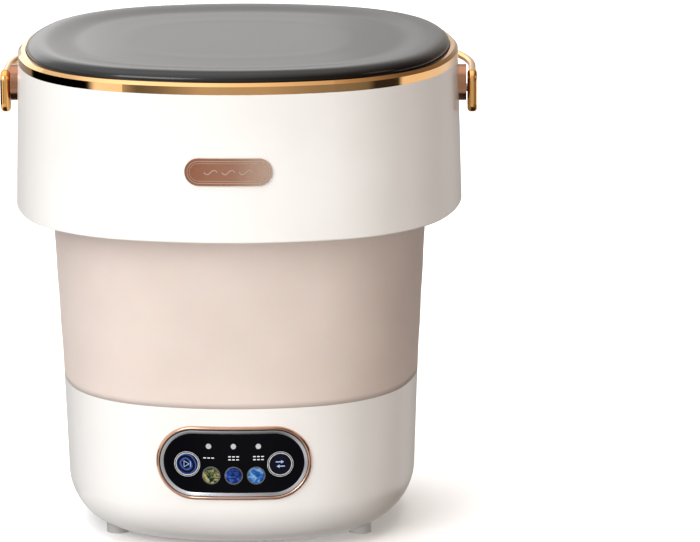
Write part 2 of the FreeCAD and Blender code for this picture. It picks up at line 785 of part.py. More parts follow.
def make_drive_line():
    shaft = cylinder("drive_shaft", "shaft_radius", "shaft_top - shaft_bottom",
                     z="shaft_bottom")
    piece(shaft, "drive_shaft")

    pulsator = new_body("pulsator")
    low = "pulsator_bottom"
    turned(pulsator, "disc", [
        ("0", low), ("pulsator_radius", low), ("pulsator_radius", f"{low} + 2.5"),
        ("pulsator_radius - 5", f"{low} + 5"), ("34", f"{low} + 7"), ("24", f"{low} + 13"),
        ("0", f"{low} + pulsator_height")])
    fin = new_sketch(pulsator, "fin_sketch", plane="XZ_Plane", offset="-fin_width / 2")
    polygon(fin, [("15", f"{low} + 4"), ("pulsator_radius - 8", f"{low} + 3"),
                  ("pulsator_radius - 10", f"{low} + 8"), ("52", f"{low} + 12"),
                  ("15", f"{low} + 14")])
    first_fin = pad(pulsator, "fin", fin, "fin_width")
    pattern = pulsator.newObject("PartDesign::PolarPattern", "fins")
    pattern.Originals = [first_fin]
    z_axis = [f for f in pulsator.Origin.OriginFeatures if f.Role == "Z_Axis"][0]
    pattern.Axis = (z_axis, [""])
    pattern.Angle = 360
    pattern.setExpression("Occurrences", bound("fin_count"))
    pulsator.Tip = pattern
    doc.recompute()
    holes(pulsator, "shaft_hole", [("0", "0")], "shaft_radius", low, "shaft_top - pulsator_bottom")
    holes(pulsator, "screw_hole", [("0", "0")], "pulsator_screw_radius + screw_play",
          "shaft_top", "8")
    piece(pulsator, "pulsator")

    piece(screw("pulsator_screw", "pulsator_screw_radius", "5", "5", 2.4, "0", "0",
                "pulsator_bottom + pulsator_height", down=True), "pulsator_screw")

    bearings = []
    for index, level in enumerate(("housing_bottom + 2", "tub_bottom - seal_depth - bearing_width")):
        ring = new_body(f"bearing_{index}")
        turned(ring, f"bearing_ring_{index}", [
            ("shaft_radius + running_fit", level), ("bearing_radius", level),
            ("bearing_radius", f"{level} + bearing_width"),
            ("shaft_radius + running_fit", f"{level} + bearing_width")])
        bearings.append(ring)
    piece(group("shaft_bearings", bearings), "shaft_bearings")

    housing = new_body("bearing_housing")
    flange_bottom = "tub_bottom - wall"
    turned(housing, "housing", [
        ("bearing_radius - 3", "housing_bottom"), ("housing_radius", "housing_bottom"),
        ("housing_radius", flange_bottom), ("housing_flange", flange_bottom),
        ("housing_flange", "tub_bottom"), ("seal_radius", "tub_bottom"),
        ("seal_radius", "tub_bottom - seal_depth"), ("bearing_radius", "tub_bottom - seal_depth"),
        ("bearing_radius", "housing_bottom + 2"), ("bearing_radius - 3", "housing_bottom + 2")])
    piece(housing, "bearing_housing")

    seal = new_body("shaft_seal")
    turned(seal, "seal", [
        ("shaft_radius + running_fit", "tub_bottom - 4"), ("seal_radius", "tub_bottom - 4"),
        ("seal_radius", "tub_bottom + wall"), ("shaft_radius + 2", "tub_bottom + wall + 1"),
        ("shaft_radius + running_fit", "tub_bottom + wall + 1")])
    piece(seal, "shaft_seal")


def make_pulley(label, radius, bore, y="0"):
    """A flanged belt pulley with its groove between the two flanges."""
    body = new_body(label)
    low, groove_low = "pulley_bottom", "pulley_bottom + pulley_flange"
    groove_high = f"{groove_low} + groove"
    high = f"{groove_high} + pulley_flange"
    turned(body, label + "_turned", [
        (bore, low), (radius, low), (radius, groove_low), (f"{radius} - groove_depth", groove_low),
        (f"{radius} - groove_depth", groove_high), (radius, groove_high), (radius, high),
        (bore, high)])
    bind(body, Base_y=y)
    return piece(body, label)


def belt_loop(sketch, driven, motor):
    """A closed loop of two arcs and two tangent lines round both pulleys."""
    distance = number("motor_offset")
    big, small = number(driven), number(motor)
    lean = math.asin((big - small) / distance)
    right = Vector(math.cos(lean), math.sin(lean), 0)
    left = Vector(-math.cos(lean), math.sin(lean), 0)
    far = Vector(0, distance, 0)
    first = sketch.GeometryCount
    sketch.addGeometry(arc(Vector(), big, math.pi - lean, 2 * math.pi + lean))
    sketch.addGeometry(Part.LineSegment(right * big, far + right * small))
    sketch.addGeometry(arc(far, small, lean, math.pi - lean))
    sketch.addGeometry(Part.LineSegment(far + left * small, left * big))
    for index in range(4):
        constrain(sketch, "Tangent", first + index, 2, first + (index + 1) % 4, 1)
    place_point(sketch, first, 3, "0", "0")
    place_point(sketch, first + 2, 3, "0", "motor_offset")
    constrain(sketch, "Radius", first, size=driven)
    constrain(sketch, "Radius", first + 2, size=motor)


def make_belt_and_motor():
    make_pulley("driven_pulley", "driven_radius", "shaft_radius")
    make_pulley("motor_pulley", "motor_pulley_radius", "motor_shaft_radius", "motor_offset")

    belt = new_body("drive_belt")
    loop = new_sketch(belt, "belt_sketch", offset="pulley_bottom + pulley_flange + gap")
    for extra in ("gap", "gap + belt_thickness"):
        belt_loop(loop, f"driven_radius - groove_depth + {extra}",
                  f"motor_pulley_radius - groove_depth + {extra}")
    pad(belt, "belt", loop, "groove - 2 * gap")
    piece(belt, "drive_belt")

    motor = new_body("motor")
    turned(motor, "can", [
        ("motor_shaft_radius + running_fit", "motor_bottom"), ("motor_radius - 3", "motor_bottom"),
        ("motor_radius", "motor_bottom + 3"), ("motor_radius", "plate_bottom"),
        ("motor_shaft_radius + running_fit", "plate_bottom")])
    bind(motor, Base_y="motor_offset")
    piece(motor, "motor")

    shaft = cylinder("motor_shaft", "motor_shaft_radius", "motor_bottom + 30 - shaft_bottom",
                     y="motor_offset", z="shaft_bottom")
    piece(shaft, "motor_shaft")

    plate = block("plate_blank", "plate_width", "plate_length", "tub_bottom - plate_bottom",
                  "-plate_width / 2", "plate_front", "plate_bottom")
    vent = cylinder("plate_vent", "motor_radius / 2", "10", y="motor_offset",
                    z="plate_bottom - 2")
    piece(combine("Cut", "motor_bracket", plate, vent), "motor_bracket")


# ---- control panel -------------------------------------------------------------------------

def make_panel():
    proud = {level: base_form(f"{level}_face", f"{level}_proud")
             for level in ("bezel", "bevel", "glass", "button")}
    back = base_form("panel_back", "-panel_depth")
    inset = {"bezel": "0", "bevel": "2 * bezel_rim", "glass": "2 * (bezel_rim + bevel_rim)"}

    def ring(sketch, outer, inner):
        capsule(sketch, f"bezel_width - {outer}", f"bezel_height - {outer}", y="panel_level")
        capsule(sketch, f"bezel_width - {inner}", f"bezel_height - {inner}", y="panel_level")

    bezel = front_prism("bezel_prism", lambda s: ring(s, inset["bezel"], inset["bevel"]))
    trimmed("panel_bezel", bezel, proud["bezel"], back)
    bevel = front_prism("bevel_prism", lambda s: ring(s, inset["bevel"], inset["glass"]))
    trimmed("panel_bevel", bevel, proud["bevel"], back)

    button_places = [("-button_x", "button_level"), ("button_x", "button_level")]
    led_places = [(f"{i} * led_pitch", "led_level") for i in (-1, 0, 1)]
    icon_places = [(f"{i} * icon_pitch", "icon_level") for i in (-1, 0, 1)]
    button_hole = "button_radius + gap + button_ring"
    icon_hole = "icon_radius + icon_ring"

    def glass_outline(sketch):
        capsule(sketch, f"bezel_width - {inset['glass']}", f"bezel_height - {inset['glass']}",
                y="panel_level")
        for places, radius in ((button_places, button_hole), (led_places, "led_radius"),
                               (icon_places, icon_hole)):
            for x, y in places:
                circle(sketch, radius, x, y)

    trimmed("panel_glass", front_prism("glass_prism", glass_outline), proud["glass"], back)

    def spots(name, places, *radii):
        parts = []
        for index, (x, y) in enumerate(places):
            def draw(sketch, x=x, y=y):
                for radius in radii:
                    circle(sketch, radius, x, y)
            parts.append(front_prism(f"{name}_prism_{index}", draw))
        return parts

    def small_group(label, prisms, face):
        members = []
        for index, prism in enumerate(prisms):
            kept = combine("Common", f"{label}_kept_{index}", prism, face)
            members.append(combine("Cut", f"{label}_{index}", kept, back))
        piece(group(label, members), label)

    small_group("button_rings", spots("button_ring", button_places, button_hole,
                                      "button_radius + gap"), proud["bevel"])
    small_group("led_lenses", spots("led", led_places, "led_radius"), proud["bevel"])
    small_group("mode_icons", spots("icon", icon_places, "icon_radius"), proud["glass"])
    small_group("icon_rings", spots("icon_ring", icon_places, icon_hole, "icon_radius"),
                proud["bevel"])

    for label, (x, y) in zip(("start_button", "mode_button"), button_places):
        prism = front_prism(label + "_prism", lambda s: circle(s, "button_radius", x, y),
                            back="button_back")
        piece(combine("Common", label, prism, proud["button"]), label)
    make_board(button_places)


def make_board(button_places):
    board = block("control_board", "board_width", "board_thickness",
                  "board_top - board_bottom", "-board_width / 2", "-board_back - board_thickness",
                  "board_bottom")
    piece(board, "control_board")
    switches = []
    for index, (x, y) in enumerate(button_places):
        stem = cylinder(f"switch_{index}", "switch_radius", "switch_height", x,
                        "-board_back - board_thickness - switch_height", y, turn=ALONG_Y)
        switches.append(stem)
    piece(group("tact_switches", switches), "tact_switches")
    parts = [
        block("relay", "16", "12", "14", "-40", "-board_back", "board_bottom + 4"),
        block("connector", "22", "8", "9", "12", "-board_back", "board_bottom + 4"),
        block("driver_chip", "12", "2", "12", "-6", "-board_back", "board_bottom + 24"),
    ]
    for index, x in enumerate(("-16", "-4")):
        parts.append(cylinder(f"capacitor_{index}", "4.5", "14", x, "-board_back",
                              "board_bottom + 9", turn=ALONG_Y))
    piece(group("board_components", parts), "board_components")
    inner_form = base_form("post_form", "-wall - gap")
    posts = []
    places = [(x, z) for z in ("post_low", "post_high") for x in ("-post_x", "post_x")]
    for index, (x, z) in enumerate(places):
        post = cylinder(f"post_blank_{index}", "post_radius", "40", x,
                        "-board_back - board_thickness - 40", z, turn=ALONG_Y)
        posts.append(combine("Common", f"post_{index}", post, inner_form))
    piece(group("board_posts", posts), "board_posts")


# ---- rear fittings -------------------------------------------------------------------------

def make_rear_fittings():
    pipe = new_body("drain_pipe")
    path = new_sketch(pipe, "drain_path", plane="YZ_Plane", offset="drain_x")
    start, end = number("drain_y"), number("drain_end")
    level, top, bend = number("drain_level"), number("tub_bottom"), number("drain_bend")
    path.addGeometry(Part.LineSegment(Vector(start, top, 0), Vector(start, level + bend, 0)))
    path.addGeometry(arc(Vector(start + bend, level + bend, 0), bend, math.pi, 3 * math.pi / 2))
    path.addGeometry(Part.LineSegment(Vector(start + bend, level, 0), Vector(end, level, 0)))
    constrain(path, "Tangent", 0, 2, 1, 1)
    constrain(path, "Tangent", 1, 2, 2, 1)
    place_point(path, 0, 1, "drain_y", "tub_bottom")
    place_point(path, 2, 2, "drain_end", "drain_level")
    place_point(path, 1, 3, "drain_y + drain_bend", "drain_level + drain_bend")
    constrain(path, "Vertical", 0)
    section = new_sketch(pipe, "drain_section", offset="tub_bottom")
    for radius in ("drain_outer - gap / 2", "drain_inner"):
        circle(section, radius, "drain_x", "drain_y")
    tube = pipe.newObject("PartDesign::AdditivePipe", "drain_tube")
    tube.Profile = section
    tube.Spine = (path, ["Edge1", "Edge2", "Edge3"])
    doc.recompute()
    piece(pipe, "drain_pipe")

    lid = cylinder("cap_disc", "cap_radius", "5", "drain_x", "drain_end + 0.5", "drain_level",
                   turn=ALONG_Y)
    stopper = cylinder("cap_stopper", "drain_inner - gap", "12.5", "drain_x", "drain_end - 12",
                       "drain_level", turn=ALONG_Y)
    cap = combine("Fuse", "cap_blank", lid, stopper)
    grip = block("cap_grip", "3", "8", "2 * cap_radius - 6", "drain_x - 1.5", "drain_end + 5.5",
                 "drain_level - cap_radius + 3")
    piece(combine("Fuse", "drain_cap", cap, grip), "drain_cap")

    shell = cylinder("inlet_shell", "inlet_radius - gap / 2", "inlet_depth", "inlet_x",
                     "inlet_back", "inlet_level", turn=ALONG_Y)
    collar = cylinder("inlet_collar_cut", "inlet_collar", "10", "inlet_x",
                      "inlet_collar_floor", "inlet_level", turn=ALONG_Y)
    socket = cylinder("inlet_socket_cut", "inlet_jack", "20", "inlet_x", "inlet_floor",
                      "inlet_level", turn=ALONG_Y)
    hollow = combine("Cut", "inlet_collared", shell, collar)
    piece(combine("Cut", "power_inlet", hollow, socket), "power_inlet")
    piece(cylinder("inlet_pin", "inlet_pin_radius", "inlet_pin_length", "inlet_x", "inlet_floor",
                   "inlet_level", turn=ALONG_Y), "inlet_pin")


def check_and_export():
    """Stop on any failed object or bad shape, then write each sub-part's STEP file."""
    doc.recompute()
    for thing in doc.Objects:
        if any(word in thing.State for word in ("Invalid", "Error")):
            raise ValueError(f"{thing.Name} failed: {thing.State}")
    os.makedirs("parts", exist_ok=True)
    for thing in pieces:
        shape = thing.Shape
        if shape.isNull() or not shape.isValid() or not shape.Solids:
            raise ValueError(f"{thing.Label} has no valid solid")
        shape.exportStep(os.path.join("parts", thing.Label + ".step"))
        print(f"{thing.Label}: {len(shape.Solids)} solid(s), {shape.Volume / 1000:.1f} cm3")


make_base_shell()
make_bottom_cover()
make_feet()
make_wash_tub()
make_soft_wall()
make_upper_housing()
make_badge()
make_lid()
make_handle()
make_pivots()
make_drive_line()
make_belt_and_motor()
make_panel()
make_rear_fittings()
check_and_export()
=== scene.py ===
import math

import bmesh
import bpy
from mathutils import Matrix, Quaternion, Vector
from mathutils.bvhtree import BVHTree


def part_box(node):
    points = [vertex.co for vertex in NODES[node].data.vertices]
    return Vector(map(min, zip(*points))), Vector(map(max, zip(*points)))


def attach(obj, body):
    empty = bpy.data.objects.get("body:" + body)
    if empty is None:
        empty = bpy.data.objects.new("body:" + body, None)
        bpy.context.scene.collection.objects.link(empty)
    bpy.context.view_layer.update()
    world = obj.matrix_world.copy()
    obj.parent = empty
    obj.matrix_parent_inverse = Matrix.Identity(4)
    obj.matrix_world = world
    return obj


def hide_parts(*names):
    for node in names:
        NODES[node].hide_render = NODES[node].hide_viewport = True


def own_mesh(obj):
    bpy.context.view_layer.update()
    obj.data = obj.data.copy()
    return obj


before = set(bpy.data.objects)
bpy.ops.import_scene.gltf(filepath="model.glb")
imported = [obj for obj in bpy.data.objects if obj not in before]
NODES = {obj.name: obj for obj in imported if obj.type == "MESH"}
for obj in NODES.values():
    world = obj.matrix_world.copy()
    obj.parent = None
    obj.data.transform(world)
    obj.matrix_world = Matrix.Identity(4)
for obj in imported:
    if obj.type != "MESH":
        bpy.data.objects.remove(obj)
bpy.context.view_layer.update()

MM = 0.001
FINISHED = {}


def middle(node):
    low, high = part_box(node)
    return (low + high) / 2


def link_mesh(name, data):
    """A new object that shows the mesh, in the scene."""
    thing = bpy.data.objects.new(name, data)
    bpy.context.scene.collection.objects.link(thing)
    return thing


# ---- camera --------------------------------------------------------------------------------

VIEW_POINT = Vector((0.0, 0.0, 0.220))
VIEW_AZIMUTH = math.radians(2.75)
VIEW_ELEVATION = math.radians(12.03)
VIEW_ROLL = math.radians(0.26)
VIEW_DISTANCE = 3.719
LENS = 248.0
SENSOR_WIDTH = 36.0
FAR_CLIP = 50.0
# the washer stands left of the middle of the frame, so the camera aims to its right and below
AIM_RIGHT = 0.0845
AIM_DOWN = 0.0293


def add_camera():
    flat = math.cos(VIEW_ELEVATION)
    back = Vector((math.sin(VIEW_AZIMUTH) * flat, -math.cos(VIEW_AZIMUTH) * flat,
                   math.sin(VIEW_ELEVATION)))
    right = Vector((math.cos(VIEW_AZIMUTH), math.sin(VIEW_AZIMUTH), 0.0))
    up = back.cross(right)
    eye = VIEW_POINT + VIEW_DISTANCE * back
    aim = VIEW_POINT + AIM_RIGHT * right - AIM_DOWN * up
    turn = (aim - eye).to_track_quat("-Z", "Y") @ Quaternion((0, 0, 1), -VIEW_ROLL)
    data = bpy.data.cameras.new("camera")
    data.lens = LENS
    data.sensor_width = SENSOR_WIDTH
    data.clip_end = FAR_CLIP
    camera = bpy.data.objects.new("camera", data)
    camera.matrix_world = Matrix.Translation(eye) @ turn.to_matrix().to_4x4()
    bpy.context.scene.collection.objects.link(camera)
    bpy.context.scene.camera = camera


# ---- shader helpers ------------------------------------------------------------------------

# a Mix node has a set of sockets for each kind of data, and these are the colour ones
MIX_FIRST = 6
MIX_SECOND = 7
MIX_RESULT = 2

NOISE_DETAIL = 3.0


def set_ramp(node, stops):
    ramp = node.color_ramp
    while len(ramp.elements) > len(stops):
        ramp.elements.remove(ramp.elements[-1])
    while len(ramp.elements) < len(stops):
        ramp.elements.new(1.0)
    for element, (position, colour) in zip(ramp.elements, stops):
        element.position = position
        element.color = (*colour, 1.0)


def math_node(tree, operation, first, second=0.0):
    node = tree.nodes.new("ShaderNodeMath")
    node.operation = operation
    for socket, value in zip(node.inputs, (first, second)):
        if isinstance(value, float):
            socket.default_value = value
        else:
            tree.links.new(value, socket)
    return node.outputs[0]


def map_range(tree, value, low, high, start=0.0, end=1.0):
    node = tree.nodes.new("ShaderNodeMapRange")
    node.inputs["From Min"].default_value = low
    node.inputs["From Max"].default_value = high
    node.inputs["To Min"].default_value = start
    node.inputs["To Max"].default_value = end
    tree.links.new(value, node.inputs["Value"])
    return node.outputs["Result"]


def colour_ramp(tree, value, stops):
    node = tree.nodes.new("ShaderNodeValToRGB")
    set_ramp(node, stops)
    tree.links.new(value, node.inputs["Fac"])
    return node.outputs["Color"]


def mix_colours(tree, share, first, second):
    node = tree.nodes.new("ShaderNodeMix")
    node.data_type = "RGBA"
    tree.links.new(share, node.inputs["Factor"])
    tree.links.new(first, node.inputs[MIX_FIRST])
    tree.links.new(second, node.inputs[MIX_SECOND])
    return node.outputs[MIX_RESULT]


def noise(tree, coords, scale, stretch=(1, 1, 1)):
    mapping = tree.nodes.new("ShaderNodeMapping")
    mapping.inputs["Scale"].default_value = stretch
    texture = tree.nodes.new("ShaderNodeTexNoise")
    texture.inputs["Scale"].default_value = scale
    texture.inputs["Detail"].default_value = NOISE_DETAIL
    tree.links.new(coords, mapping.inputs["Vector"])
    tree.links.new(mapping.outputs["Vector"], texture.inputs["Vector"])
    return texture.outputs["Fac"]


# ---- studio --------------------------------------------------------------------------------

def add_softbox(name, place, target, size, watts, colour, mirrored=True):
    data = bpy.data.lights.new(name, "AREA")
    data.shape = "RECTANGLE"
    data.size, data.size_y = size
    data.energy = watts
    data.color = colour
    light = bpy.data.objects.new(name, data)
    place = Vector(place)
    turn = (Vector(target) - place).to_track_quat("-Z", "Y")
    light.matrix_world = Matrix.Translation(place) @ turn.to_matrix().to_4x4()
    light.visible_camera = False
    light.visible_glossy = mirrored
    bpy.context.scene.collection.objects.link(light)


def add_lights():
    white = (1.0, 1.0, 1.0)
    cream = (1.0, 0.99, 0.98)
    above_floor = (0, 0, 0.2)
    add_softbox("key", (-1.5, -2.2, 1.7), above_floor, (1.6, 1.6), 37, white)
    add_softbox("overhead", (-0.2, 0.3, 2.4), (0, 0, 0), (2.4, 2.4), 48, white, mirrored=False)
    add_softbox("fill", (1.0, -2.5, 0.8), above_floor, (1.2, 1.2), 3, (1.0, 0.82, 0.66),
                mirrored=False)
    add_softbox("low_front", (0.08, -0.78, 0.15), (0, 0, 0.04), (0.9, 0.26), 2.3,
                (1.0, 0.98, 0.96), mirrored=False)
    add_softbox("right_card", (2.2, -0.6, 1.3), (0, 0, 0.35), (0.9, 0.9), 2.4,
                (1.0, 0.76, 0.60))
    add_softbox("rear", (0.5, 2.3, 0.9), above_floor, (1.4, 1.2), 16, cream, mirrored=False)
    # overlapping panels behind the washer that the lid mirrors, brighter toward the left
    for index, (across, watts) in enumerate(((-1.02, 2.3), (-0.74, 1.3), (-0.42, 0.5))):
        add_softbox(f"back_panel_{index}", (across, 1.9, 1.0), (0, 0, 0.3), (1.7, 1.0), watts,
                    white)


# the room's colour across the scene, from 0 on the far left to 1 on the far right
ROOM = [(0.0, (1.62, 1.60, 1.58)), (0.45, (1.10, 1.08, 1.06)),
        (0.70, (0.40, 0.31, 0.24)), (1.0, (0.09, 0.05, 0.03))]

# brightness of the cards that stand below the horizon, by azimuth in degrees: 0 is in front
# of the washer, +90 on its right
CARDS = [(-180, 0.74), (-150, 0.50), (-137, 0.45), (-133, 0.0), (-68, 0.0), (-62, 1.90),
         (-42, 1.80), (-36, 0.22), (-28, 0.35), (-12, 0.90), (10, 0.85), (30, 0.48), (60, 0.30),
         (66, 0.05), (87, 0.05), (91, 1.60), (150, 1.40), (165, 0.74), (180, 0.74)]
CARD_TINT = (1.0, 0.95, 0.91)
# heights in the world run from -1 straight down to +1 straight up, with the horizon at 0
CARD_HEIGHT = -0.20
CARD_SOLID = 0.14
CARD_END = 0.18
# each fades over the first two heights, from the third value to the fourth
GROUND_FADE = (-0.88, -0.72, 0.03, 0.64)
CEILING_FADE = (0.70, 0.92, 1.0, 2.0)

def add_world():
    """A plain pale room, lighter on the left, dimmer and warmer on the right, brightest
    overhead, with dark and bright cards below the horizon for the plated parts to reflect."""
    world = bpy.data.worlds.new("studio")
    bpy.context.scene.world = world
    world.use_nodes = True
    tree = world.node_tree
    tree.nodes.clear()
    coords = tree.nodes.new("ShaderNodeTexCoord")
    split = tree.nodes.new("ShaderNodeSeparateXYZ")
    tree.links.new(coords.outputs["Generated"], split.inputs[0])
    across, depth, height = split.outputs
    room = colour_ramp(tree, map_range(tree, across, -1.0, 1.0), ROOM)
    azimuth = math_node(tree, "ARCTAN2", across, math_node(tree, "MULTIPLY", depth, -1.0))
    cards = colour_ramp(tree, map_range(tree, azimuth, -math.pi, math.pi),
                        [((angle + 180) / 360, tuple(tint * level for tint in CARD_TINT))
                         for angle, level in CARDS])
    from_cards = math_node(tree, "ABSOLUTE", math_node(tree, "ADD", height, -CARD_HEIGHT))
    card_share = map_range(tree, from_cards, CARD_SOLID, CARD_END, 1.0, 0.0)
    strength = math_node(tree, "MULTIPLY", map_range(tree, height, *GROUND_FADE),
                         map_range(tree, height, *CEILING_FADE))
    background = tree.nodes.new("ShaderNodeBackground")
    tree.links.new(mix_colours(tree, card_share, room, cards), background.inputs["Color"])
    tree.links.new(strength, background.inputs["Strength"])
    output = tree.nodes.new("ShaderNodeOutputWorld")
    tree.links.new(background.outputs[0], output.inputs["Surface"])


FLOOR_SIZE = 12.0
FLOOR_GLOW = 0.12


def add_floor():
    half = FLOOR_SIZE / 2
    mesh = bpy.data.meshes.new("floor")
    mesh.from_pydata([(-half, -half, 0), (half, -half, 0), (half, half, 0), (-half, half, 0)],
                     [], [(0, 1, 2, 3)])
    floor = link_mesh("floor", mesh)
    paper = finish("floor_paper", (0.92, 0.92, 0.92), (0.95, 0.95, 0.95), roughness=0.9,
                   grain=60, bump=0.0, Emission_Color=(1.0, 1.0, 1.0, 1.0),
                   Emission_Strength=FLOOR_GLOW)
    mesh.materials.append(paper)
    # light from below and reflections come from the room and its cards, not the bare floor
    floor.visible_diffuse = False
    floor.visible_glossy = False


# ---- materials -----------------------------------------------------------------------------

# the noise values where a finish reaches its low and its high colour
DRIFT_START = 0.3
DRIFT_END = 0.7
# how many times finer the roughness varies than the colour
WEAR_FINENESS = 5
LEAST_ROUGHNESS = 0.01
GRAIN_DEPTH = 0.1 * MM


def finish(name, low=None, high=None, roughness=0.4, spread=0.04, grain=700, patch=14,
           bump=0.05, stretch=(1, 1, 1), stops=None, along=None, **constants):
    """A procedural finish: a colour that drifts between low and high, uneven roughness and a
    fine surface grain. stops and along give a colour that runs across the part instead."""
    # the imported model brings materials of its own, some with these names, so they are not reused
    if name in FINISHED:
        return FINISHED[name]
    material = FINISHED[name] = bpy.data.materials.new(name)
    material.use_nodes = True
    tree = material.node_tree
    shader = tree.nodes["Principled BSDF"]
    for socket, value in constants.items():
        shader.inputs[socket.replace("_", " ")].default_value = value
    coords = tree.nodes.new("ShaderNodeTexCoord").outputs["Object"]

    if along:
        axis, start, end = along
        split = tree.nodes.new("ShaderNodeSeparateXYZ")
        tree.links.new(coords, split.inputs[0])
        drift = map_range(tree, split.outputs[axis], start, end)
    else:
        drift = noise(tree, coords, patch)
        stops = [(DRIFT_START, low), (DRIFT_END, high)]
    tree.links.new(colour_ramp(tree, drift, stops), shader.inputs["Base Color"])

    wear = noise(tree, coords, patch * WEAR_FINENESS, stretch=stretch)
    uneven = map_range(tree, wear, 0.0, 1.0, max(roughness - spread, LEAST_ROUGHNESS),
                       roughness + spread)
    tree.links.new(uneven, shader.inputs["Roughness"])

    if bump:
        relief = tree.nodes.new("ShaderNodeBump")
        relief.inputs["Strength"].default_value = bump
        relief.inputs["Distance"].default_value = GRAIN_DEPTH
        tree.links.new(noise(tree, coords, grain, stretch=stretch), relief.inputs["Height"])
        tree.links.new(relief.outputs["Normal"], shader.inputs["Normal"])
    return material


def picture(name, stops, scale, distortion, glow, centre=None):
    """A picture under the glass, with no lettering and a painted glow: cloudy colour, or ripples
    if it has a centre."""
    material = finish(name, (0.002, 0.002, 0.004), (0.004, 0.004, 0.008), roughness=0.12,
                      spread=0.02, Specular_IOR_Level=0.10)
    tree = material.node_tree
    coords = tree.nodes.new("ShaderNodeTexCoord").outputs["Object"]
    mapping = tree.nodes.new("ShaderNodeMapping")
    tree.links.new(coords, mapping.inputs["Vector"])
    if centre:
        mapping.inputs["Location"].default_value = [-value for value in centre]
        swirl = tree.nodes.new("ShaderNodeTexWave")
        swirl.wave_type = "RINGS"
        swirl.rings_direction = "SPHERICAL"
    else:
        swirl = tree.nodes.new("ShaderNodeTexNoise")
    swirl.name = "swirl"
    swirl.inputs["Scale"].default_value = scale
    swirl.inputs["Distortion"].default_value = distortion
    swirl.inputs["Detail"].default_value = NOISE_DETAIL
    tree.links.new(mapping.outputs["Vector"], swirl.inputs["Vector"])
    shader = tree.nodes["Principled BSDF"]
    tree.links.new(colour_ramp(tree, swirl.outputs["Fac"], stops), shader.inputs["Emission Color"])
    shader.inputs["Emission Strength"].default_value = glow
    return material


def pictograms():
    """The three mode discs share a node: a green, a blue and a pale blue picture by position."""
    material = picture("icon_swirl", BLUE_SWIRL, scale=170, distortion=1.6, glow=0.7)
    tree = material.node_tree
    shader = tree.nodes["Principled BSDF"]
    swirl = tree.nodes["swirl"]
    coords = tree.nodes.new("ShaderNodeTexCoord").outputs["Object"]
    split = tree.nodes.new("ShaderNodeSeparateXYZ")
    tree.links.new(coords, split.inputs[0])
    low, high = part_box("mode_icons")
    # the panel is centred on x = 0, so the middle disc lies within a sixth of the row's length
    edge = (high.x - low.x) / 6
    colour = shader.inputs["Emission Color"].links[0].from_socket
    for stops, test, limit in ((GREEN_SWIRL, "LESS_THAN", -edge),
                               (PALE_SWIRL, "GREATER_THAN", edge)):
        here = math_node(tree, test, split.outputs["X"], limit)
        colour = mix_colours(tree, here, colour,
                             colour_ramp(tree, swirl.outputs["Fac"], stops))
    tree.links.new(colour, shader.inputs["Emission Color"])
    return material


def white_abs():
    return finish("white_abs", (0.80, 0.785, 0.765), (0.84, 0.828, 0.812), roughness=0.30,
                  grain=1400, bump=0.04, Coat_Weight=0.25, Coat_Roughness=0.12)


def blush_tpe():
    return finish("blush_tpe", (0.67, 0.575, 0.525), (0.72, 0.62, 0.57), roughness=0.52,
                  grain=1100, bump=0.10, Subsurface_Weight=0.12, Subsurface_Scale=0.004)


def gold():
    return finish("gold_plate", (0.87, 0.50, 0.21), (0.94, 0.58, 0.27), roughness=0.08,
                  spread=0.03, bump=0.02, Metallic=1.0)


def bright_gold():
    return finish("bright_gold", (0.92, 0.49, 0.15), (0.98, 0.58, 0.22), roughness=0.07,
                  spread=0.03, bump=0.02, Metallic=1.0)


def copper():
    return finish("copper_plate", (0.42, 0.20, 0.12), (0.54, 0.28, 0.17), roughness=0.16,
                  spread=0.05, bump=0.03, Metallic=1.0)


def rose_gold():
    return finish("rose_gold", (0.66, 0.40, 0.29), (0.76, 0.49, 0.37), roughness=0.06,
                  spread=0.04, bump=0.02, Metallic=1.0)


def steel():
    return finish("turned_steel", (0.50, 0.50, 0.51), (0.62, 0.62, 0.63), roughness=0.26,
                  spread=0.08, grain=900, stretch=(1, 1, 9), Metallic=1.0)


def silver():
    return finish("satin_silver", (0.60, 0.61, 0.66), (0.70, 0.71, 0.76), roughness=0.24,
                  spread=0.05, bump=0.03, Metallic=1.0)


def dim_ring():
    return finish("dim_ring", (0.10, 0.10, 0.105), (0.16, 0.16, 0.165), roughness=0.40,
                  bump=0.03, Metallic=0.3)


def smoke():
    return finish("smoked_lid", (0.004, 0.004, 0.0045), (0.007, 0.007, 0.008), roughness=0.20,
                  spread=0.006, patch=5, grain=2200, bump=0.01, IOR=1.5,
                  Transmission_Weight=0.20)


def rubber():
    return finish("black_rubber", (0.020, 0.020, 0.021), (0.032, 0.031, 0.031), roughness=0.68,
                  grain=1600, bump=0.25)


def silicone():
    return finish("grey_silicone", (0.26, 0.26, 0.27), (0.34, 0.34, 0.35), roughness=0.55,
                  grain=1500, bump=0.12)


def foot_rubber():
    return finish("foot_rubber", (0.48, 0.47, 0.46), (0.58, 0.57, 0.56), roughness=0.50,
                  grain=1500, bump=0.15, Transmission_Weight=0.25)


def nylon():
    return finish("grey_nylon", (0.40, 0.40, 0.39), (0.48, 0.48, 0.47), roughness=0.45,
                  grain=1200, bump=0.10)


def dark_plastic():
    return finish("dark_plastic", (0.030, 0.030, 0.032), (0.050, 0.050, 0.052),
                  roughness=0.38, grain=1300, bump=0.12)


def black_glass():
    return finish("black_glass", (0.0014, 0.0016, 0.0026), (0.0026, 0.003, 0.005),
                  roughness=0.06, spread=0.02, bump=0.0, IOR=1.45,
                  Specular_IOR_Level=0.07)


def circuit_board():
    return finish("circuit_board", (0.012, 0.085, 0.040), (0.024, 0.130, 0.060),
                  roughness=0.34, patch=160, grain=1800, bump=0.15)


def galvanised():
    return finish("galvanised_can", (0.42, 0.43, 0.44), (0.56, 0.57, 0.58), roughness=0.32,
                  spread=0.10, patch=120, grain=600, Metallic=1.0)


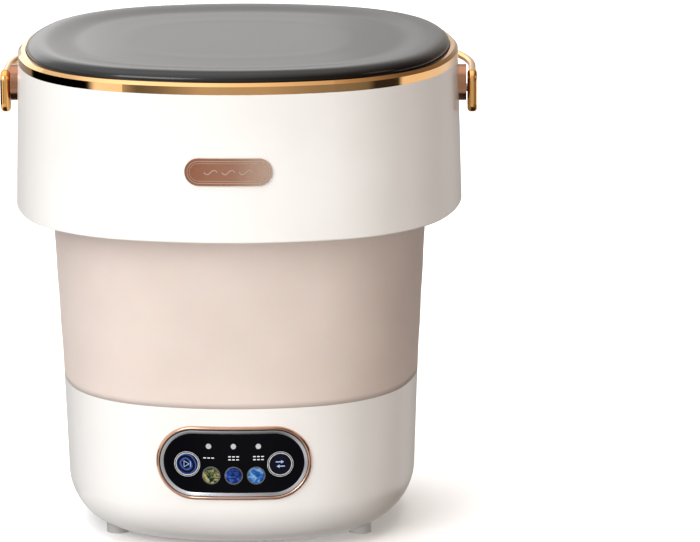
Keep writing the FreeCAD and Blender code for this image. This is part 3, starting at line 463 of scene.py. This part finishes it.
def badge_copper_painted_reflection():
    half_length = 32 * MM
    # the copper colour runs from dark brown on the left to pale on the right along the badge: a
    # painted reflection
    return finish("badge_copper_painted_reflection", roughness=0.18, spread=0.05, bump=0.03,
                  stops=[(0.0, (0.46, 0.19, 0.11)), (0.55, (0.52, 0.27, 0.185)),
                         (1.0, (0.78, 0.57, 0.46))],
                  along=("X", -half_length, half_length), Metallic=0.85)


def lamp_and_painted_glow(name, colour, strength):
    """A glowing finish that drifts between four fifths of its colour and the whole of it, used for
    the lamps and for the painted glow on print.
    """
    material = finish(name, tuple(0.8 * c for c in colour), colour, roughness=0.3, patch=300)
    shader = material.node_tree.nodes["Principled BSDF"]
    shader.inputs["Emission Color"].default_value = (*colour, 1.0)
    shader.inputs["Emission Strength"].default_value = strength
    return material


BLUE_SWIRL = [(0.30, (0.002, 0.004, 0.020)), (0.45, (0.008, 0.028, 0.17)),
              (0.60, (0.03, 0.11, 0.50)), (0.75, (0.30, 0.50, 0.90))]
START_SWIRL = [(0.25, (0.001, 0.002, 0.010)), (0.50, (0.004, 0.014, 0.085)),
               (0.80, (0.015, 0.055, 0.30)), (1.0, (0.10, 0.20, 0.58))]
DARK_SWIRL = [(0.40, (0.001, 0.001, 0.003)), (0.85, (0.004, 0.010, 0.045))]
PALE_SWIRL = [(0.30, (0.004, 0.012, 0.06)), (0.42, (0.015, 0.08, 0.38)),
              (0.55, (0.07, 0.30, 0.75)), (0.70, (0.55, 0.78, 1.0))]
GREEN_SWIRL = [(0.38, (0.004, 0.008, 0.010)), (0.48, (0.03, 0.08, 0.05)),
               (0.56, (0.46, 0.38, 0.10)), (0.72, (0.80, 0.74, 0.42))]

# the soft wall, the lid and the two panel rings aren't here: meshes made below replace them
FINISHES = {
    white_abs: ("base_shell", "bottom_cover", "wash_tub", "upper_skirt", "wall_clamp",
                "pulsator", "bearing_housing"),
    gold: ("rim_trim",),
    bright_gold: ("handle_bail",),
    copper: ("pivot_bracket_left", "pivot_bracket_right"),
    badge_copper_painted_reflection: ("badge_plate",),
    silicone: ("lid_gasket", "shaft_seal"),
    foot_rubber: ("feet",),
    dim_ring: ("icon_rings",),
    black_glass: ("panel_glass", "button_rings"),
    steel: ("cover_screws", "clamp_screws", "pivot_pins", "drive_shaft", "pulsator_screw",
            "shaft_bearings", "motor_shaft", "inlet_pin"),
    galvanised: ("motor", "motor_bracket"),
    nylon: ("driven_pulley", "motor_pulley", "board_posts", "drain_pipe"),
    rubber: ("drive_belt", "drain_cap"),
    dark_plastic: ("power_inlet", "tact_switches", "board_components"),
    circuit_board: ("control_board",),
}


def dress(node, material):
    part = NODES[node]
    part.data.materials.clear()
    part.data.materials.append(material)


def dress_all():
    for make, names in FINISHES.items():
        for node in names:
            dress(node, make())
    dress("led_lenses", lamp_and_painted_glow("led_glow", (0.50, 0.50, 0.52), 0.10))
    dress("start_button", picture("start_swirl", START_SWIRL, scale=130, distortion=3.0,
                                  glow=0.6, centre=middle("start_button")))
    dress("mode_button", picture("mode_swirl", DARK_SWIRL, scale=140, distortion=1.0, glow=0.5))
    dress("mode_icons", pictograms())


# ---- small shapes on the panel and badge ---------------------------------------------------

def front_of(node):
    """A function that gives the depth of the node's front at (x, z), or None beside it."""
    part = NODES[node]
    tree = BVHTree.FromPolygons([v.co for v in part.data.vertices],
                                [p.vertices for p in part.data.polygons])
    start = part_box(node)[0].y - 10 * MM

    def lay(x, z):
        hit = tree.ray_cast(Vector((x, start, z)), Vector((0, 1, 0)))[0]
        return hit.y if hit else None
    return lay


def print_on(name, node, shapes, material, body, proud=0.12 * MM, step=1.0 * MM):
    """Thin raised print that follows the front of a curved part. Each shape is a flat
    outline in (x, z), cut into small faces so that it bends with the surface."""
    lay = front_of(node)
    mesh = bmesh.new()
    for shape in shapes:
        verts = [mesh.verts.new((x, 0.0, z)) for x, z in shape]
        mesh.faces.new(verts)
    bmesh.ops.triangulate(mesh, faces=mesh.faces[:])
    long_edges = [e for e in mesh.edges if e.calc_length() > step]
    if long_edges:
        bmesh.ops.subdivide_edges(mesh, edges=long_edges, cuts=2)
    bmesh.ops.triangulate(mesh, faces=mesh.faces[:])
    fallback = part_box(node)[0].y
    for vert in mesh.verts:
        depth = lay(vert.co.x, vert.co.z)
        vert.co.y = (fallback if depth is None else depth) - proud
    bmesh.ops.recalc_face_normals(mesh, faces=mesh.faces[:])
    data = bpy.data.meshes.new(name)
    mesh.to_mesh(data)
    mesh.free()
    data.materials.append(material)
    piece = link_mesh(name, data)
    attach(piece, body)


def band(path, width, closed=False):
    """The outlines of a ribbon of that width along a path, one four-sided shape per run."""
    count = len(path)
    runs = count if closed else count - 1
    sides = []
    for index in range(count):
        before = path[(index - 1) % count] if closed or index else path[0]
        after = path[(index + 1) % count] if closed or index < count - 1 else path[-1]
        along = Vector((after[0] - before[0], after[1] - before[1])).normalized()
        across = Vector((-along.y, along.x)) * width / 2
        here = Vector(path[index])
        sides.append((here + across, here - across))
    return [[sides[i][0], sides[i][1], sides[(i + 1) % count][1], sides[(i + 1) % count][0]]
            for i in range(runs)]


def stadium(x, z, length, height, steps=14):
    """A slot-shaped outline with that many steps round each end."""
    radius = height / 2
    reach = length / 2 - radius
    points = []
    for side, start in ((1, -90), (-1, 90)):
        for index in range(steps + 1):
            angle = math.radians(start + 180 * index / steps)
            points.append((x + side * reach + radius * math.cos(angle),
                           z + radius * math.sin(angle)))
    return points


def ring_path(x, z, radius, steps=40):
    return [(x + radius * math.cos(math.radians(360 * i / steps)),
             z + radius * math.sin(math.radians(360 * i / steps)))
            for i in range(steps + 1)]


def add_badge_ornament():
    """Two fine outlines and three plain ripples stand where the real badge has lettering."""
    centre = middle("badge_plate")
    low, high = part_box("badge_plate")
    length, height = high.x - low.x, high.z - low.z
    wave_pitch, wave_step, wave_rise = 13 * MM, 0.5 * MM, 1.6 * MM
    half_steps = 10
    pale = finish("badge_line", (0.80, 0.62, 0.50), (0.88, 0.72, 0.60), roughness=0.18,
                  bump=0.02, Metallic=1.0)
    shapes = []
    for inset, width in ((2.0 * MM, 0.45 * MM), (3.6 * MM, 0.30 * MM)):
        path = stadium(centre.x, centre.z, length - 2 * inset, height - 2 * inset)
        shapes += band(path, width, closed=True)
    for index in (-1, 0, 1):
        wave = [(centre.x + index * wave_pitch + step * wave_step,
                 centre.z + wave_rise * math.sin(step * math.pi / half_steps))
                for step in range(-half_steps, half_steps + 1)]
        shapes += band(wave, 0.7 * MM)
    print_on("badge_ornament", "badge_plate", shapes, pale, "upper_housing")


def add_button_symbols():
    """A play symbol beside a bar on one button, and two opposite arrows on the other."""
    # the printed symbols on the buttons are given a painted glow
    glow = lamp_and_painted_glow("symbol_glow", (0.34, 0.44, 0.66), 0.30)

    start = middle("start_button")
    tail, tip, half_height = start.x - 2.4 * MM, start.x + 1.5 * MM, 2.4 * MM
    bar_at, bar_half = start.x + 2.4 * MM, 2.2 * MM
    triangle = [(tail, start.z - half_height), (tip, start.z), (tail, start.z + half_height)]
    shapes = band([(bar_at, start.z - bar_half), (bar_at, start.z + bar_half)], 0.45 * MM)
    for index in range(3):
        shapes += band([triangle[index], triangle[(index + 1) % 3]], 0.4 * MM)
    print_on("start_symbol", "start_button", shapes, glow, "start_button")

    mode = middle("mode_button")
    tail, neck, tip = 3.4 * MM, 0.6 * MM, 2.8 * MM
    rise, half_head = 1.7 * MM, 1.3 * MM
    shapes = []
    for sign in (1, -1):
        level = mode.z + sign * rise
        shaft = [(mode.x - sign * tail, level), (mode.x + sign * neck, level)]
        head = [(mode.x + sign * neck, level + half_head), (mode.x + sign * tip, level),
                (mode.x + sign * neck, level - half_head)]
        shapes += band(shaft, 0.8 * MM) + [head]
    print_on("mode_symbol", "mode_button", shapes, glow, "mode_button")


def add_ring_lines():
    chrome = finish("ring_chrome", (0.78, 0.79, 0.82), (0.88, 0.89, 0.92), roughness=0.22,
                    bump=0.02, Metallic=0.35)
    lines = []
    for button in (middle("start_button"), middle("mode_button")):
        for radius, width in ((8.5 * MM, 0.55 * MM), (9.6 * MM, 0.35 * MM)):
            lines += band(ring_path(button.x, button.z, radius), width)
    print_on("ring_lines", "button_rings", lines, chrome, "base", proud=0.25 * MM,
             step=0.5 * MM)


def add_label_dashes():
    """Plain dashes between the lamps and the mode discs, where the labels are."""
    low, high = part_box("led_lenses")
    icons_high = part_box("mode_icons")[1]
    centre = (low.x + high.x) / 2
    lamp_pitch = (high.x - low.x - (high.z - low.z)) / 2
    level = (low.z + icons_high.z) / 2
    row_pitch, dash_pitch = 2.4 * MM, 3.0 * MM
    # the pale label print is given a painted glow
    painted_glow_ink = lamp_and_painted_glow("label_ink_painted_glow", (0.72, 0.73, 0.75), 0.25)
    dashes = []
    for index, rows in ((-1, 1), (0, 2), (1, 2)):
        for row in range(rows):
            drop = (row - (rows - 1) / 2) * row_pitch
            for side in (-1, 0, 1):
                dashes.append(stadium(centre + index * lamp_pitch + side * dash_pitch,
                                      level - drop, 2.2 * MM, 0.8 * MM, steps=5))
    print_on("label_dashes", "panel_glass", dashes, painted_glow_ink, "base")


def spaced_out(path, spacing):
    """The closed path again, with points added along any stretch longer than the spacing."""
    points = []
    for index, here in enumerate(path):
        after = path[(index + 1) % len(path)]
        parts = max(1, round(math.dist(here, after) / spacing))
        points += [(here[0] + (after[0] - here[0]) * i / parts,
                    here[1] + (after[1] - here[1]) * i / parts) for i in range(parts)]
    return points


# the CAD ring's front is felt for at this share of the half width, clear of its edges
FELT_SHARE = 0.9
RING_SPACING = 1.5 * MM
RING_END_STEPS = 40


def add_swept_ring(name, node, width, section, material, body):
    """A ring with a shaped section that stands for a flat CAD ring. section gives how far
    behind the CAD front each point lies, at shares of the width from -1 outside to 1 inside."""
    lay = front_of(node)
    low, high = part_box(node)
    x, z = (low.x + high.x) / 2, (low.z + high.z) / 2
    length, height = high.x - low.x, high.z - low.z
    path = spaced_out(stadium(x, z, length - width, height - width, steps=RING_END_STEPS),
                      RING_SPACING)
    count = len(path)
    verts = []
    for index, here in enumerate(path):
        before, after = path[index - 1], path[(index + 1) % count]
        along = Vector((after[0] - before[0], after[1] - before[1])).normalized()
        inward = Vector((-along.y, along.x))
        if inward.dot(Vector((x, z)) - Vector(here)) < 0:
            inward = -inward
        for share, back in section:
            point = Vector(here) + inward * (share * width / 2)
            safe = Vector(here) + inward * (share * width / 2 * FELT_SHARE)
            front = lay(safe.x, safe.y)
            if front is None:
                front = lay(*here)
            verts.append((point.x, front + back, point.y))
    rows = len(section)
    faces = [(i * rows + r, i * rows + r + 1, (i + 1) % count * rows + r + 1,
              (i + 1) % count * rows + r) for i in range(count) for r in range(rows - 1)]
    data = bpy.data.meshes.new(name)
    data.from_pydata(verts, [], faces)
    shape = bmesh.new()
    shape.from_mesh(data)
    bmesh.ops.recalc_face_normals(shape, faces=shape.faces[:])
    # the open ring has to face forward, which is toward -Y
    if sum(face.normal.y * face.calc_area() for face in shape.faces) > 0:
        bmesh.ops.reverse_faces(shape, faces=shape.faces[:])
    shape.to_mesh(data)
    shape.free()
    data.shade_smooth()
    data.materials.append(material)
    ring = link_mesh(name, data)
    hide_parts(node)
    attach(ring, body)


def add_panel_rings():
    """A round-topped bezel and, inside it, a bevel that slopes down to the glass."""
    half_steps, bulge = 8, 2.2 * MM
    shares = [index / half_steps for index in range(-half_steps, half_steps + 1)]
    bullnose = [(share, bulge * (1 - math.sqrt(max(0.0, 1 - share ** 2)))) for share in shares]
    add_swept_ring("bezel_ring", "panel_bezel", 3.2 * MM, bullnose, rose_gold(), "base")
    chamfer = [(-1.0, 0.0), (-0.8, 0.05 * MM), (0.7, 0.75 * MM), (1.0, 0.9 * MM)]
    add_swept_ring("bevel_ring", "panel_bevel", 2.5 * MM, chamfer, silver(), "base")


# ---- soft wall and lid ---------------------------------------------------------------------

# the radii of the outline's sides and corners, as shares of its half width
SIDE_RATIO = 1.5
CORNER_RATIO = 0.72


def outline(half, side_steps=14, corner_steps=26):
    """The washer's rounded-square outline: four bowed sides joined by tangent corners."""
    side, corner = SIDE_RATIO * half, CORNER_RATIO * half
    reach = side - half
    sweep = math.acos(reach / (side - corner) / math.sqrt(2)) - math.pi / 4
    offset = (side - corner) * math.cos(sweep) - reach
    points = []
    for quarter in range(4):
        facing = quarter * math.pi / 2
        for index in range(side_steps):
            angle = facing - sweep + 2 * sweep * index / side_steps
            points.append((-reach * math.cos(facing) + side * math.cos(angle),
                           -reach * math.sin(facing) + side * math.sin(angle)))
        diagonal = facing + math.pi / 4
        for index in range(corner_steps):
            angle = facing + sweep + (math.pi / 2 - 2 * sweep) * index / corner_steps
            points.append((math.sqrt(2) * offset * math.cos(diagonal) + corner * math.cos(angle),
                           math.sqrt(2) * offset * math.sin(diagonal) + corner * math.sin(angle)))
    return points


def row_faces(rows, count, closed=False):
    """Four-sided faces between neighbouring rows of count points each, and from the last row
    back to the first if closed."""
    faces = []
    for row in range(rows if closed else rows - 1):
        above = (row + 1) % rows
        for index in range(count):
            beside = (index + 1) % count
            faces.append((row * count + index, row * count + beside,
                          above * count + beside, above * count + index))
    return faces


def add_soft_wall():
    """The collapsible wall, with a rounded top lip held under the clamp ring and faint
    moulded fold lines."""
    low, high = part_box("soft_wall")
    lip_height, lip_edge = 3 * MM, 0.4 * MM
    thickness = 2.4 * MM
    half_low, half_top = 136.7 * MM, 149.2 * MM
    fold_depth, half_folds = 0.12 * MM, 12
    lip_half = high.x
    wall_top = high.z - lip_height
    levels = 48
    profile = []
    for index in range(levels + 1):
        share = index / levels
        fold = fold_depth * math.cos(share * math.pi * half_folds)
        profile.append((half_low + (half_top - half_low) * share - fold_depth + fold,
                        low.z + (wall_top - low.z) * share))
    profile += [(lip_half - lip_edge, wall_top), (lip_half, wall_top + lip_edge),
                (lip_half, high.z - lip_edge), (lip_half - lip_edge, high.z)]
    profile += [(half_low + (half_top - half_low) * i / levels - thickness,
                 low.z + (high.z - low.z) * i / levels) for i in range(levels, -1, -1)]
    verts = [(x, y, z) for half, z in profile for x, y in outline(half)]
    data = bpy.data.meshes.new("collapsible_wall")
    data.from_pydata(verts, [], row_faces(len(profile), len(verts) // len(profile), closed=True))
    data.validate()
    data.shade_smooth()
    data.materials.append(blush_tpe())
    wall = link_mesh("collapsible_wall", data)
    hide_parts("soft_wall")
    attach(wall, "base")
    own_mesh(wall)


def smooth_step(share):
    """0 below a share of 0 and 1 above 1, with a smooth rise between them."""
    share = min(max(share, 0.0), 1.0)
    return share * share * (3 - 2 * share)


def add_lid():
    """The smoked lid with a soft pillow edge that runs into a shallow dish, and the CAD lid's
    hollow underside and plug."""
    low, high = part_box("lid_panel")
    half, top = high.x, high.z
    edge_foot = low.z + 8.8 * MM
    edge_radius, edge_width = 6 * MM, 10.6 * MM
    plug_half = 142 * MM
    skin = 2.6 * MM
    dish, dish_half = 2.2 * MM, 122 * MM
    ridge, ridge_half, ridge_width = 0.12 * MM, 86 * MM, 9 * MM
    dish_steps, edge_steps = 48, 14
    crest = half - edge_width
    profile = []
    for index in range(1, dish_steps + 1):
        wide = crest * index / dish_steps
        rise = dish * smooth_step((wide - dish_half) / (crest - dish_half))
        swell = ridge * math.exp(-((wide - ridge_half) / ridge_width) ** 2)
        profile.append((wide, top - dish + rise + swell))
    for index in range(1, edge_steps + 1):
        angle = math.pi / 2 * index / edge_steps
        profile.append((crest + (half - crest) * math.sin(angle),
                        top - edge_radius + edge_radius * math.cos(angle)))
    ceiling = top - edge_radius
    underside = top - dish - skin
    profile += [(half, edge_foot), (half - skin, edge_foot), (half - skin, ceiling),
                (plug_half, ceiling), (plug_half, low.z), (plug_half - skin, low.z),
                (plug_half - skin, underside), (profile[0][0], underside)]
    verts = [(x, y, z) for wide, z in profile
             for x, y in outline(wide, side_steps=16, corner_steps=28)]
    count = len(verts) // len(profile)
    # the profile starts in the middle of the top, so its faces are turned over to point up
    faces = [(a, d, c, b) for a, b, c, d in row_faces(len(profile), count)]
    faces.append(tuple(range(count)))
    faces.append(tuple(range(len(verts) - 1, len(verts) - count - 1, -1)))
    data = bpy.data.meshes.new("smoked_lid_cover")
    data.from_pydata(verts, [], faces)
    data.validate()
    data.shade_smooth()
    data.set_sharp_from_angle(angle=math.radians(40))
    data.materials.append(smoke())
    cover = link_mesh("smoked_lid_cover", data)
    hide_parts("lid_panel")
    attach(cover, "lid")


# ---- the scene -----------------------------------------------------------------------------

bpy.context.scene.view_settings.view_transform = "Standard"
add_camera()
add_world()
add_floor()
add_lights()

dress_all()
add_soft_wall()
add_lid()
add_panel_rings()
add_badge_ornament()
add_button_symbols()
add_ring_lines()
add_label_dashes()

bpy.context.view_layer.update()
